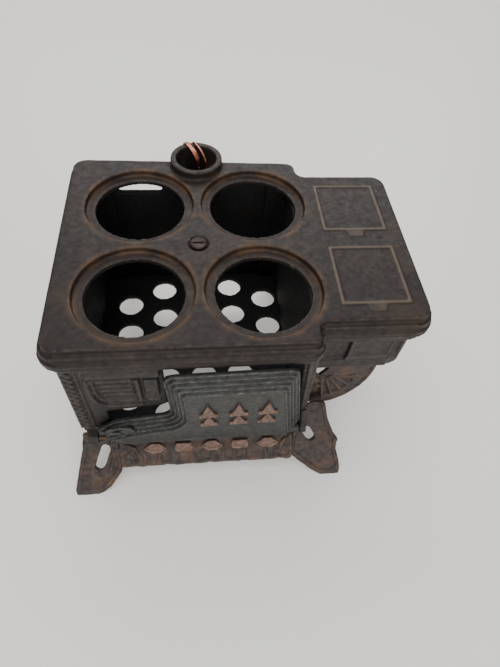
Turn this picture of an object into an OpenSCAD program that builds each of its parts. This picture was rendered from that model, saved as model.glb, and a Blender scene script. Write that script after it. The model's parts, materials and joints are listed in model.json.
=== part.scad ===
/* [Cooktop] */
// Height of the upper face above the ground
top_z = 80; // [76:1:84]
// Width of the upper face, reservoir shelf included
top_w = 125; // [124:1:127]
// Front edge of the main part of the upper face, measured forwards from the clamp screw
front_y = 44; // [44:0.5:45]
// Rear edge of the main part of the upper face, measured backwards from the clamp screw
rear_y = 46.6; // [46:0.2:47]
// How much further back the left end of that edge lies
rear_slant = 2.2; // [0:0.2:2.4]
// Front edge of the reservoir shelf, measured forwards from the clamp screw
shelf_front_y = 35.8; // [35:0.2:36.2]
// Rear edge of the reservoir shelf, measured backwards from the clamp screw
shelf_rear_y = 37.7; // [37.3:0.1:38]
// Thickness of the plate between the mouldings
plate_t = 4; // [3.5:0.1:5]
// Depth of the moulded edge below the upper face
rim_h = 12.4; // [11.4:0.2:12.6]
// How far the widest bead of the moulded edge stands out
lip = 2.3; // [1:0.1:2.4]

/* [Lid holes] */
// Distance between lid centres, along and across
lid_pitch = 43; // [42:0.5:44]
// Radius of the seat that a lid drops into
seat_r = 20; // [19.5:0.1:20.2]
// Depth of the seat
seat_h = 2.3; // [1.5:0.1:2.6]
// Radius of the hole under a lid
lid_r = 16.5; // [15.5:0.1:17]

/* [Flue collar] */
// Radius of the bore that a stovepipe enters
flue_r = 8.1; // [7.5:0.1:8.4]
// Thickness of the collar's wall
flue_wall = 2.3; // [1.8:0.1:2.5]
// How far the collar stands above the upper face
flue_rise = 3.4; // [2.5:0.1:5]

/* [Body] */
// Depth of the body between the outer faces of its front and back walls
body_d = 84.5; // [83:0.5:85]
// Thickness of the cast walls
wall = 2.5; // [2:0.1:3]
// Height of the floor's upper face above the ground
floor_z = 20; // [19:0.5:21]
// Radius of the ash holes in the floor
ash_r = 5.6; // [5:0.1:5.8]
// Distance between columns of ash holes
ash_step_x = 15.85; // [15.5:0.05:16.2]
// Distance between ash holes in a column
ash_step_y = 16.5; // [16:0.1:17]
// How far the drilled pattern is turned from square
ash_turn = 2.3; // [0:0.1:3]

/* [Oven door] */
// How far the door stands open at rest
door_ajar = 3; // [0:0.5:4]
// How far the casting sits out of square on its hinge
door_skew = 2; // [0:0.5:2.5]
// Height of the hinge pin above the ground
hinge_z = 20.5; // [20.5:0.1:21]
// Radius of the hinge pin
pin_r = 1; // [0.8:0.1:1.1]
// Gap between the hinge pin and the door's bore
pin_gap = 0.06; // [0.03:0.01:0.1]

/* [Legs] */
// How far the feet reach in front of and behind the screw
foot_y = 61.5; // [60:0.5:63]
// How much shorter the right legs reach
foot_short = 2.6; // [0:0.2:3]

/* [Hidden] */
$fn = 64;

// The origin lies on the ground, midway between the left feet and the right end of the shelf.
screw_x = -13;
left_x = -61.5;
right_x = left_x + top_w;
step_front_x = 24.5;
step_rear_x = 27.5;
plate_under_z = top_z - plate_t;
rim_z = top_z - rim_h;
rim_wall = 1.6;
eps = 0.01;

// Moulded edge, from the top down: [upper level, lower level, how far it stands out]
mouldings = [[0, 2.4, 0], [2.4, 5, 0.6 * lip], [5, 8.6, lip], [8.6, 10.6, 0.6 * lip], [10.6, rim_h, 0.2 * lip]];

// Body
body_front_y = -body_d / 2;
body_back_y = body_d / 2;
body_left_x = -59;
body_right_x = 27;
floor_t = 2.5;
under_z = floor_z - floor_t;

// Door, seen from the front: x to the right, h up from the hinge pin
door_left_x = -53.6;
door_end_x = 4;
door_tip_h = 4.5;
door_step_x = -24.4;
door_right_x = 25;
door_top_right_x = 20.5;
door_top_h = 46;
door_ledge_h = 13.2;
door_ledge_rise = 3;
door_foot_h = -2.4;
door_steps = 4;
door_step_in = 1.45;
door_step_out = 1;
door_base_t = 1.4;
hinge_y = body_front_y - 3.4;
door_back_y = 2.2;
pin_left_x = -58.6;

// Reservoir
tank_left_x = body_right_x;
tank_right_x = 61.2;
tank_front_y = -32.6;
tank_back_y = 34.6;
tank_z = 46;

// Screw
screw_r = 1.5;
screw_gap = 0.3;
head_r = 2.9;
nut_w = 5.5;
nut_h = 2.4;

function arc(x, y, r, from, to, n = 6) =
    [for (i = [0:n]) [x + r * cos(from + (to - from) * i / n), y + r * sin(from + (to - from) * i / n)]];

// Plan of the cooktop, grown outwards by g
function top_outline(g) =
    let (corner_r = 5, step_r = 2.2, cove_r = 3, rear_r = 3.6, rear_cove_r = 4)
    concat(
        arc(left_x + corner_r, -front_y + corner_r, corner_r + g, 180, 270),
        arc(step_front_x - step_r, -front_y + step_r, step_r + g, 270, 360),
        arc(step_front_x + cove_r, -shelf_front_y - cove_r, cove_r - g, 180, 90),
        arc(right_x - corner_r, -shelf_front_y + corner_r, corner_r + g, 270, 360),
        arc(right_x - corner_r, shelf_rear_y - corner_r, corner_r + g, 0, 90),
        arc(step_rear_x + rear_cove_r, shelf_rear_y + rear_cove_r, rear_cove_r - g, 270, 180),
        arc(step_rear_x - rear_r, rear_y - rear_r, rear_r + g, 0, 90),
        arc(left_x + corner_r, rear_y + rear_slant - corner_r, corner_r + g, 90, 180)
    );

module slab(points, low, high) {
    translate([0, 0, low]) linear_extrude(high - low) polygon(points);
}

// A polygon drawn in x and z, standing up and reaching from y0 to y1
module upright(points, y0, y1) {
    translate([0, y1, 0]) rotate([90, 0, 0]) linear_extrude(y1 - y0) polygon(points);
}

// A polygon drawn in y and z, reaching from x0 to x1
module profile(points, x0, x1) {
    translate([x0, 0, 0]) rotate([90, 0, 90]) linear_extrude(x1 - x0) polygon(points);
}

module block(x0, x1, y0, y1, z0, z1) {
    translate([x0, y0, z0]) cube([x1 - x0, y1 - y0, z1 - z0]);
}

module at_lids() {
    for (sx = [-1, 1], sy = [-1, 1])
        translate([screw_x + sx * lid_pitch / 2, sy * lid_pitch / 2, 0]) children();
}

// Raised border that marks a cover on the reservoir shelf, with its thumb tab at the front
module cover_border(y0, y1) {
    x0 = 33.7;
    x1 = 57.6;
    line = 0.8;
    relief = 0.4;
    difference() {
        block(x0, x1, y0, y1, top_z - 1, top_z + relief);
        block(x0 + line, x1 - line, y0 + line, y1 - line, top_z - 2, top_z + 2);
    }
    tab_x = (x0 + x1) / 2 - 0.2;
    slab([[tab_x - 2.5, y0 - 3.4], [tab_x + 2.5, y0 - 3.4], [tab_x + 3.5, y0 + eps], [tab_x - 3.5, y0 + eps]],
        top_z - 1, top_z + relief / 2);
}

collar_x = screw_x + 0.3;
collar_y = 45.6;

module cooktop() {
    color("dimgray") difference() {
        union() {
            difference() {
                for (m = mouldings) slab(top_outline(m[2]), top_z - m[1], top_z - m[0]);
                slab(top_outline(-rim_wall), rim_z - 1, plate_under_z);
            }
            translate([collar_x, collar_y, rim_z]) cylinder(r = flue_r + flue_wall, h = rim_h + flue_rise);
            cover_border(6, 31.5);
            cover_border(-29.3, -2.8);
        }
        at_lids() translate([0, 0, top_z - seat_h]) cylinder(r = seat_r, h = seat_h + 1);
        at_lids() translate([0, 0, plate_under_z - 1]) cylinder(r = lid_r, h = plate_t);
        // Short stretch of the rear edge, which lets light in over the back wall
        block(-45.6, -26.4, body_back_y + 0.5, rear_y + rear_slant + lip + 1, rim_z - 1, plate_under_z - 0.8);
        translate([collar_x, collar_y, rim_z - 1]) cylinder(r = flue_r, h = rim_h + flue_rise + 2);
        translate([screw_x, 0, plate_under_z - 1]) cylinder(r = screw_r + screw_gap, h = plate_t + 2);
        translate([screw_x, 0, top_z - 0.8]) cylinder(r = 3.7, h = 2);
    }
}

front_y0 = body_front_y;
front_y1 = body_front_y + wall;
front_lean = 1.6;
oven_left_x = -49;
oven_step_x = -26.3;
oven_top_z = 73;

module front_relief() {
    // Nested frames of the firebox panel, and its round boss
    panel_x0 = -52;
    panel_x1 = -35.5;
    for (i = [0:3])
        block(panel_x0 + 1.6 * i, panel_x1 - 1.2 * i, front_y0 - 0.7 * (i + 1), front_y0 + eps,
            42.5 + 1.2 * i, 66 - 3.4 * i);
    translate([-31.4, front_y0 + eps, 55]) rotate([90, 0, 0]) cylinder(r = 3, h = 1.8);
    translate([-31.4, front_y0 + eps, 55]) rotate([90, 0, 0]) cylinder(r = 1.5, h = 2.6);
    // Ribs of the left pilaster
    for (i = [0:2])
        upright([[-59.4 + 2 * i, 66], [-60.6 + 2 * i, 24], [-59.6 + 2 * i, 24], [-58.4 + 2 * i, 66]],
            front_y0 - 0.8, front_y0 + eps);
    hinge_ear(pin_left_x, door_left_x - 0.5);
    hinge_ear(door_right_x + 0.5, body_right_x + 1);
}

module hinge_ear(x0, x1) {
    ear_r = 2.2;
    translate([x0, hinge_y, hinge_z]) rotate([0, 90, 0]) cylinder(r = ear_r, h = x1 - x0);
    block(x0, x1, hinge_y, front_y0 + eps, hinge_z - ear_r, hinge_z + ear_r);
}

module front_wall() {
    top_left = body_left_x + 0.4;
    top_right = body_right_x - 0.8;
    color("dimgray") difference() {
        union() {
            upright([[top_left - front_lean, floor_z], [top_right + front_lean, floor_z],
                [top_right, plate_under_z], [top_left, plate_under_z]], front_y0, front_y1);
            front_relief();
        }
        upright(concat(
            [[oven_left_x, floor_z - 1], [door_right_x + 0.4, floor_z - 1]],
            [[door_top_right_x + 0.2, oven_top_z], [oven_step_x, oven_top_z]],
            arc(oven_step_x - 2, 41.5, 2, 0, -90),
            [[oven_left_x, 36.2]]), front_y0 - 3, front_y1 + 1);
        translate([-60, hinge_y, hinge_z]) rotate([0, 90, 0]) cylinder(r = pin_r, h = 100);
        // Clearance for the moulded edge at the step and at the rounded corner
        block(step_front_x - 1.8, body_right_x + 3, front_y0 - 1, front_y1 + 1, rim_z - 0.1, top_z);
        block(body_left_x - 1, body_left_x + 1.6, front_y0 - 1, front_y1 + 1, rim_z - 0.1, top_z);
    }
}

module back_wall() {
    y0 = body_back_y - wall;
    color("dimgray") difference() {
        block(body_left_x, body_right_x, y0, body_back_y, floor_z, plate_under_z);
        // Low stretch of the upper edge, and a casting gap at the lower right corner
        block(-44.8, -27.2, y0 - 1, body_back_y + 1, plate_under_z - 5.5, plate_under_z + 1);
        block(23.4, body_right_x + 1, y0 - 1, body_back_y + 1, floor_z + 2.5, floor_z + 6.5);
        // Clearance for the collar and for the moulded edge at the step
        block(collar_x - flue_r - flue_wall - 0.4, collar_x + flue_r + flue_wall + 0.4, y0 - 1, body_back_y + 1,
            rim_z - 0.3, top_z);
        block(step_rear_x - 4, body_right_x + 1, y0 - 1, body_back_y + 1, rim_z - 0.1, top_z);
    }
}

module side_wall(x0, flange_x0, flange_x1) {
    y0 = front_y1;
    y1 = body_back_y - wall;
    block(x0, x0 + wall, y0, y1, floor_z, plate_under_z);
    block(flange_x0, flange_x1, y1 - 2, y1, floor_z, plate_under_z);
}

module left_wall() {
    color("dimgray") side_wall(body_left_x, body_left_x + wall - eps, -47.3);
}

module right_wall() {
    color("dimgray") difference() {
        side_wall(body_right_x - wall, 16, body_right_x - wall + eps);
        block(body_right_x - wall - 1, body_right_x + 1, front_y1 - 1, -shelf_front_y + 2.2, rim_z - 0.1, top_z);
        block(body_right_x - wall - 1, body_right_x + 1, shelf_rear_y - 2, body_back_y, rim_z - 0.1, top_z);
    }
}

// Three middle columns share their rows, and the outer two are half a step out
function ash_holes() = concat(
    [for (c = [-1:1], r = [-2:2]) if (c != 0 || r != 0) [c * ash_step_x, -2.1 + r * ash_step_y]],
    [for (c = [-2, 2], r = [-1.5:1:1.5]) [c * ash_step_x, -2.1 + r * ash_step_y]]
);

module base_floor() {
    reach = 0.8;
    color("dimgray") difference() {
        block(body_left_x - reach, body_right_x, body_front_y, body_back_y + reach, under_z, floor_z);
        translate([screw_x, 0, under_z - 1]) rotate([0, 0, ash_turn])
            for (p = ash_holes()) translate(p) cylinder(r = ash_r, h = floor_t + 2);
        translate([screw_x, 0, under_z - 1]) cylinder(r = screw_r + screw_gap, h = floor_t + 2);
    }
}

// Hearth ledge and flared apron along the front, with a scalloped lower edge
skirt_left_x = -46.2;
skirt_right_x = 22.1;

module front_skirt() {
    scallops = 9;
    scallop_step = (skirt_right_x - skirt_left_x) / scallops;
    y0 = body_front_y;
    color("rosybrown") difference() {
        profile([[y0, under_z], [y0 - 4.4, under_z - 1.3], [y0 - 7.6, under_z - 3.4], [y0 - 12, under_z - 8.6],
            [y0 - 10.2, under_z - 9.4], [y0 - 6.2, under_z - 5.6], [y0 - 3, under_z - 4], [y0, under_z - 3.2]],
            skirt_left_x, skirt_right_x);
        for (i = [0:scallops - 1])
            translate([skirt_left_x + (i + 0.5) * scallop_step, y0 - 10.4, under_z - 11.2]) rotate([50, 0, 0])
                cylinder(r = 2.2, h = 8, center = true);
    }
}

// Outlines of the front legs, across and up: a sloping plate that flares into a wide foot
leg_left_outline = [[-60.9, 24], [-61.2, 20], [-61.8, 14.5], [-63.8, 8.3], [-65.8, 1.8], [-64.6, -2], [-56.5, -2],
    [-56.5, 0], [-54, 0.9], [-51.3, 2.5], [-48.7, 5], [-47.1, 6.8], [-46.5, 8.2], [-46.5, 24]];
leg_right_outline = [[22.4, 24], [22.4, 8.3], [27, 5.1], [32.7, 1.4], [35.5, 0], [35.5, -2], [43.4, -2], [44.4, 1.5],
    [43.8, 4.9], [42.3, 9.2], [42.6, 13.2], [40.7, 15.5], [38.2, 20.7], [36.9, 26], [28, 25]];

module leg(outline, slot_high, slot_low, reach, foot_x, top_x, f) {
    leg_t = 2.6;
    slot_r = 1.9;
    pad_h = 2.4;
    top_y = 45;
    slope = atan(under_z / (reach - top_y));
    grow = 1 / sin(slope);
    turn = atan2((slot_high[1] - slot_low[1]) * grow, slot_high[0] - slot_low[0]);
    color("rosybrown") scale_side(f) difference() {
        union() {
            translate([0, -reach, 0]) rotate([slope, 0, 0]) translate([0, 0, -leg_t]) linear_extrude(leg_t)
                difference() {
                    polygon([for (p = outline) [p[0], p[1] * grow]]);
                    polygon(concat(
                        arc(slot_high[0], slot_high[1] * grow, slot_r, turn - 90, turn + 90),
                        arc(slot_low[0], slot_low[1] * grow, slot_r, turn + 90, turn + 270)));
                }
            block(foot_x - 5, foot_x + 5, 2 - reach, 7 - reach, 0, pad_h);
            block(top_x - 6, top_x + 6, -top_y + 2.5, body_front_y + 7, under_z - 2.2, under_z);
        }
        block(-right_x - 9, right_x, -reach - 9, body_front_y + 9, -9, 0);
        // Clearance under the floor, and beside the front wall's corner
        block(-right_x - 9, body_right_x + 1.3, -reach - 9, body_front_y + 9, under_z, under_z + 19);
    }
}

module scale_side(f) {
    if (f > 0) mirror([0, 1, 0]) children();
    else children();
}

module leg_left(f) { leg(leg_left_outline, [-52.7, 14.3], [-55.4, 9], foot_y, -59.6, -53.2, f); }
module leg_right(f) { leg(leg_right_outline, [29.3, 16.6], [31, 14.2], foot_y - foot_short, 39.2, 28.6, f); }

module leg_front_left() { leg_left(-1); }
module leg_front_right() { leg_right(-1); }
module leg_rear_left() { leg_left(1); }
module leg_rear_right() { leg_right(1); }

// Door outline, drawn inwards by d from its edge
function door_outline(d) =
    let (big = max(7 - d, 0.8), small = max(3 - d, 0.6), cove = 4.5 + d)
    concat(
        arc(door_left_x + door_end_x + d + small, door_foot_h + d / 2 + small, small, 215, 270),
        arc(door_right_x - 0.8 * d - big, door_foot_h + d / 2 + big, big, 270, 360),
        arc(door_top_right_x - 0.8 * d - small, door_top_h - d - small, small, 0, 90),
        arc(door_step_x + d + small + 1, door_top_h - d - small - 1, small + 1, 90, 180),
        arc(door_step_x + d - cove, door_ledge_h + door_ledge_rise - d + cove, cove, 360, 270),
        arc(door_left_x + 1.6 * door_end_x + d + small, door_ledge_h - d - small, small, 90, 150),
        arc(door_left_x + d + small, door_tip_h, small, 150, 215)
    );

module oven_door() {
    color("darkslategray")
        translate([0, hinge_y, hinge_z]) rotate([door_ajar, 0, 0]) difference() {
            union() {
                for (i = [0:door_steps])
                    translate([door_left_x, 0, 0]) rotate([0, -door_skew, 0]) translate([-door_left_x, 0, 0])
                        upright(door_outline(door_step_in * i),
                            door_back_y - door_base_t - door_step_out * i, door_back_y);
                translate([door_left_x + door_end_x, 0, 0]) rotate([0, 90, 0])
                    cylinder(r = 2.1, h = door_right_x - door_left_x - door_end_x);
            }
            translate([-60, 0, 0]) rotate([0, 90, 0]) cylinder(r = pin_r + pin_gap, h = 100);
        }
}

module hinge_pin() {
    color("darkgray") translate([pin_left_x + 0.4, hinge_y, hinge_z]) rotate([0, 90, 0])
        cylinder(r = pin_r, h = body_right_x - pin_left_x);
}

module reservoir_box() {
    corner = 4;
    front = [[tank_left_x, plate_under_z], [tank_left_x, tank_z]];
    right = arc(tank_right_x - corner, tank_z + corner, corner, 270, 360);
    color("dimgray") difference() {
        union() {
            upright(concat(front, right, [[tank_right_x, plate_under_z]]), tank_front_y, tank_back_y);
            // Panel and sills on the front face
            block(40, 56, tank_front_y - 1, tank_front_y + eps, tank_z + 6, rim_z - 0.5);
            block(tank_left_x + 1, tank_right_x - 5, tank_front_y - 0.9, tank_front_y + eps, tank_z + 1, tank_z + 3.4);
        }
        block(tank_left_x + wall, tank_right_x - wall, tank_front_y + wall, tank_back_y - wall,
            tank_z + wall, plate_under_z + 1);
    }
}

// Curved bracket between the body and the reservoir
function bracket_outline(d) = concat(
    [[body_right_x, tank_z], [body_right_x, under_z + 1 + d]],
    [[body_right_x + 9, under_z - 0.5 + d]],
    [for (a = [-70:14:0]) [34 + (20 - d) * cos(a), tank_z + (29 - d) * sin(a)]]
);

module bracket(y0) {
    difference() {
        union() {
            upright(bracket_outline(0), y0, y0 + 3);
            upright(bracket_outline(-0.2), y0 - 1, y0 + eps);
        }
        upright(concat([[body_right_x + 3, tank_z - 6], [body_right_x + 3, under_z + 5]],
            [for (a = [-70:14:-28]) [33 + 16 * cos(a), tank_z - 2 + 22 * sin(a)]], [[47, tank_z - 6]]),
            y0 - 2, y0 - 0.2);
        upright([[30, tank_z + eps], [34.2, tank_z + eps], [30, tank_z - 5.2]], y0 - 2, y0 + 4);
    }
}

module bracket_front() { color("rosybrown") bracket(tank_front_y + 0.6); }
module bracket_rear() { color("rosybrown") mirror([0, 1, 0]) bracket(-tank_back_y + 0.6); }

module clamp_screw() {
    color("sienna") difference() {
        union() {
            translate([screw_x, 0, under_z - nut_h - 2]) cylinder(r = screw_r, h = top_z - under_z + nut_h + 1.5);
            translate([screw_x, 0, top_z - 0.8]) cylinder(r = head_r, h = 1.3);
        }
        block(screw_x - head_r - 1, screw_x + head_r + 1, -0.5, 0.5, top_z - 0.1, top_z + 1);
    }
}

module clamp_nut() {
    color("sienna") translate([screw_x, 0, under_z - nut_h]) difference() {
        cylinder(d = nut_w / cos(30), h = nut_h, $fn = 6);
        translate([0, 0, -1]) cylinder(r = screw_r, h = nut_h + 2);
    }
}

// Strip of sheet copper hooked over the collar's rear edge, hanging into the bore
module flue_strip(x, w, turn, reach, z_end) {
    t = 0.5;
    z_rim = top_z + flue_rise + 0.05;
    y_out = flue_r + flue_wall + 0.1;
    translate([collar_x, collar_y, 0]) rotate([0, 0, turn]) translate([x, 0, 0])
        profile([[y_out + t, z_rim - 3], [y_out + t, z_rim + t], [flue_r - 1.5 - t, z_rim + t],
            [flue_r - reach, z_end], [flue_r - reach + t, z_end - 0.2], [flue_r - 1.5, z_rim], [y_out, z_rim],
            [y_out, z_rim - 3]], -w / 2, w / 2);
}

module flue_strip_wide() { color("peru") flue_strip(1, 2.6, 20, 5, top_z - 1.5); }
module flue_strip_thin() { color("peru") flue_strip(4.3, 1, 14, 8, top_z - 2); }

cooktop();
front_wall();
back_wall();
left_wall();
right_wall();
base_floor();
front_skirt();
leg_front_left();
leg_front_right();
leg_rear_left();
leg_rear_right();
oven_door();
hinge_pin();
reservoir_box();
bracket_front();
bracket_rear();
clamp_screw();
clamp_nut();
flue_strip_wide();
flue_strip_thin();
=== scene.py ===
import bpy
import json
import math
import random
from mathutils import Matrix, Vector


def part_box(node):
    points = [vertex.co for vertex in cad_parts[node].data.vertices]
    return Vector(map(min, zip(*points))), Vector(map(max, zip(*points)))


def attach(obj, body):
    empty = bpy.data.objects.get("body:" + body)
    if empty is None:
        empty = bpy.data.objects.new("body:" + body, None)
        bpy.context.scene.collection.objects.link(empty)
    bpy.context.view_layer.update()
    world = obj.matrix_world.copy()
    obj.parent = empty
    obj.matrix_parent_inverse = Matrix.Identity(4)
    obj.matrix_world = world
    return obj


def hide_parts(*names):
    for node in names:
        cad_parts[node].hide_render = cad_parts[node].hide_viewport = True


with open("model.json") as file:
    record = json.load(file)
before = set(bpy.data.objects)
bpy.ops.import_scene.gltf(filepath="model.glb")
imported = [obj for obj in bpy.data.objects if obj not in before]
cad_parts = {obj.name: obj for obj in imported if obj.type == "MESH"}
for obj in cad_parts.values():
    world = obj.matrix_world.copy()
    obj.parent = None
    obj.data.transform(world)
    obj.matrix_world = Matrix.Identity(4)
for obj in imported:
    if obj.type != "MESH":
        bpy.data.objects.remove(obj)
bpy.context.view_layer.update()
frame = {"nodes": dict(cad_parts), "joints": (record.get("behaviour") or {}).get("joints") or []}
mm = 0.001
random.seed(7)


def deselectAll():
    if bpy.context.object and bpy.context.object.mode != "OBJECT":
        bpy.ops.object.mode_set(mode="OBJECT")
    bpy.ops.object.select_all(action="DESELECT")


def pick(*objects):
    deselectAll()
    for o in objects:
        o.select_set(True)
    bpy.context.view_layer.objects.active = objects[0]
    return objects[0]


def settle():
    # the place of a new primitive goes into its mesh
    bpy.ops.object.transform_apply(location=True, rotation=True, scale=True)
    return bpy.context.object


def castCopy(node, name):
    # a loose copy of a solid, with its seams merged
    copied = frame["nodes"][node].copy()
    copied.data = copied.data.copy()
    copied.name = name
    copied.parent = None
    copied.matrix_world = Matrix.Identity(4)
    for key in list(copied.keys()):
        del copied[key]
    bpy.context.scene.collection.objects.link(copied)
    copied.hide_render = False
    pick(copied)
    copied.data.materials.clear()
    bpy.ops.object.mode_set(mode="EDIT")
    bpy.ops.mesh.select_all(action="SELECT")
    bpy.ops.mesh.remove_doubles(threshold=0.00001)
    bpy.ops.object.mode_set(mode="OBJECT")
    return copied


def addBar(low, high, edge=0.0):
    # a bar between two corners in mm, its edges softened by edge
    deselectAll()
    middle = [(a + b) / 2 * mm for a, b in zip(low, high)]
    bpy.ops.mesh.primitive_cube_add(size=1, location=middle)
    bpy.context.object.scale = [(b - a) * mm for a, b in zip(low, high)]
    bar = settle()
    if edge > 0:
        bpy.ops.object.mode_set(mode="EDIT")
        bpy.ops.mesh.bevel(offset=edge * mm, segments=2, affect="EDGES")
        bpy.ops.object.mode_set(mode="OBJECT")
    return bar


def addBall(at, radius, stretch=(1, 1, 1)):
    deselectAll()
    bpy.ops.mesh.primitive_uv_sphere_add(segments=20, ring_count=12, radius=radius * mm,
                                         location=[v * mm for v in at])
    bpy.context.object.scale = stretch
    return settle()


def addCord(points, radius, closed=False):
    # a round bead that runs through points in mm
    deselectAll()
    curve = bpy.data.curves.new("bead", "CURVE")
    curve.dimensions = "3D"
    curve.bevel_depth = radius * mm
    curve.bevel_resolution = 3
    curve.use_fill_caps = not closed
    spline = curve.splines.new("POLY")
    spline.points.add(len(points) - 1)
    for slot, p in zip(spline.points, points):
        slot.co = (p[0] * mm, p[1] * mm, p[2] * mm, 1)
    spline.use_cyclic_u = closed
    bead = bpy.data.objects.new("bead", curve)
    bpy.context.scene.collection.objects.link(bead)
    pick(bead)
    bpy.ops.object.convert(target="MESH")
    bead = bpy.context.object
    bpy.ops.object.mode_set(mode="EDIT")
    bpy.ops.mesh.select_all(action="SELECT")
    bpy.ops.mesh.remove_doubles(threshold=0.000005)
    bpy.ops.mesh.normals_make_consistent(inside=False)
    bpy.ops.object.mode_set(mode="OBJECT")
    return bead


def addPlate(points, y0, y1):
    # a flat shape drawn in x and z, filled and drawn out from y0 to y1
    deselectAll()
    bpy.ops.mesh.primitive_circle_add(vertices=len(points), radius=1, fill_type="NGON")
    plate = bpy.context.object
    for v, p in zip(plate.data.vertices, points):
        v.co = (p[0] * mm, y0 * mm, p[1] * mm)
    bpy.ops.object.mode_set(mode="EDIT")
    bpy.ops.mesh.select_all(action="SELECT")
    bpy.ops.mesh.extrude_region_move(TRANSFORM_OT_translate={"value": (0, (y1 - y0) * mm, 0)})
    bpy.ops.mesh.select_all(action="SELECT")
    bpy.ops.mesh.normals_make_consistent(inside=False)
    bpy.ops.object.mode_set(mode="OBJECT")
    return plate


def applyModifier(main, kind, **settings):
    # makes one modifier part of the mesh of the picked object
    change = main.modifiers.new("change", kind)
    for key, value in settings.items():
        setattr(change, key, value)
    bpy.ops.object.modifier_apply(modifier=change.name)


def fuse(main, parts, grain, soften, name, push=0.0, pushSize=3.0):
    # joins details into a casting: one skin of grain mm, its edges softened, its faces a little uneven
    pick(main, *parts)
    if parts:
        bpy.ops.object.join()
    main = bpy.context.object
    main.name = name
    applyModifier(main, "REMESH", mode="VOXEL", voxel_size=grain * mm, use_smooth_shade=True)
    applyModifier(main, "SMOOTH", factor=0.5, iterations=soften)
    if push > 0:
        clouds = bpy.data.textures.new(name + "Clouds", "CLOUDS")
        clouds.noise_scale = pushSize * mm
        clouds.noise_depth = 2
        applyModifier(main, "DISPLACE", texture=clouds, texture_coords="LOCAL", strength=push * mm,
                      mid_level=0.5)
    bpy.ops.object.shade_smooth()
    return main


def thinOut(main, most):
    # fewer faces where the skin is flat, to about most triangles
    faces = 2 * len(main.data.polygons)
    if faces > most:
        pick(main)
        applyModifier(main, "DECIMATE", ratio=most / faces)
        bpy.ops.object.shade_smooth()


def cutAway(main, tool):
    pick(main)
    applyModifier(main, "BOOLEAN", operation="DIFFERENCE", solver="EXACT", object=tool)
    bpy.data.objects.remove(tool)
    return main


# materials
def linearColour(code):
    values = [int(code[i:i + 2], 16) / 255 for i in (1, 3, 5)]
    return [v / 12.92 if v <= 0.04045 else ((v + 0.055) / 1.055) ** 2.4 for v in values] + [1.0]


def addNode(tree, kind, settings=None, **links):
    # links are socket name to value or (node, output); spaces in socket names are written _
    node = tree.nodes.new(kind)
    for key, value in (settings or {}).items():
        setattr(node, key, value)
    for key, value in links.items():
        wanted = key.replace("_", " ")
        if wanted.startswith("in") and wanted[2:].isdigit():
            socket = node.inputs[int(wanted[2:])]
        else:
            socket = node.inputs[wanted]
        if isinstance(value, tuple) and isinstance(value[0], bpy.types.Node):
            tree.links.new(value[0].outputs[value[1]], socket)
        else:
            socket.default_value = value
    return node


def startMaterial(name):
    material = bpy.data.materials.new(name)
    material.use_nodes = True
    tree = material.node_tree
    tree.nodes.clear()
    place = addNode(tree, "ShaderNodeTexCoord")
    return material, tree, place


def blendColours(tree, share, first, second):
    node = addNode(tree, "ShaderNodeMix", {"data_type": "RGBA"})
    for index, value in ((0, share), (6, first), (7, second)):
        if isinstance(value, tuple):
            tree.links.new(value[0].outputs[value[1]], node.inputs[index])
        else:
            node.inputs[index].default_value = value
    return (node, 2)


def finishMaterial(material, tree, colour, rough, height, metallic, bumpDepth, specular=0.4):
    bump = addNode(tree, "ShaderNodeBump", Height=height, Distance=bumpDepth * mm, Strength=1.0)
    shader = addNode(tree, "ShaderNodeBsdfPrincipled", Base_Color=colour, Roughness=rough,
                     Metallic=metallic, Specular_IOR_Level=specular, Normal=(bump, 0))
    addNode(tree, "ShaderNodeOutputMaterial", Surface=(shader, 0))
    return material


def ramp(tree, value, low, high, start=0.0, end=1.0):
    # start up to low, end from high on, and an even change between them
    return addNode(tree, "ShaderNodeMapRange", {"clamp": True}, Value=value, From_Min=low, From_Max=high,
                   To_Min=start, To_Max=end)


def combine(tree, operation, *values, kind="ShaderNodeMath"):
    links = {"in" + str(i): value for i, value in enumerate(values)}
    return addNode(tree, kind, {"operation": operation}, **links)


def addNoise(tree, spot, size, detail, rough):
    # noise with lumps of about size mm
    return addNode(tree, "ShaderNodeTexNoise", Vector=spot, Scale=1 / (size * mm), Detail=detail,
                   Roughness=rough)


# Cast iron, sand cast and left bare, with decades of brown patina. The eye sees a dull, slightly
# mottled skin, a fine sand grain, and paler or rusted wear where hands and pots rubbed it.
# sizes of the iron finish; the hollow amount and tone set how strongly the hollows get painted shade
ironSizes = {"patchSize": 9.0, "patchAmount": 0.45, "wearAmount": 0.5, "rough": 0.5, "metallic": 0.35,
             "grain": 0.55, "bump": 0.16, "pitSize": 2.2, "hollowShadeAmount": 0.7, "hollowShadeTone": "#120f0e",
             "grainShare": 0.35, "rougher": 0.12, "smoother": 0.1}


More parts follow.
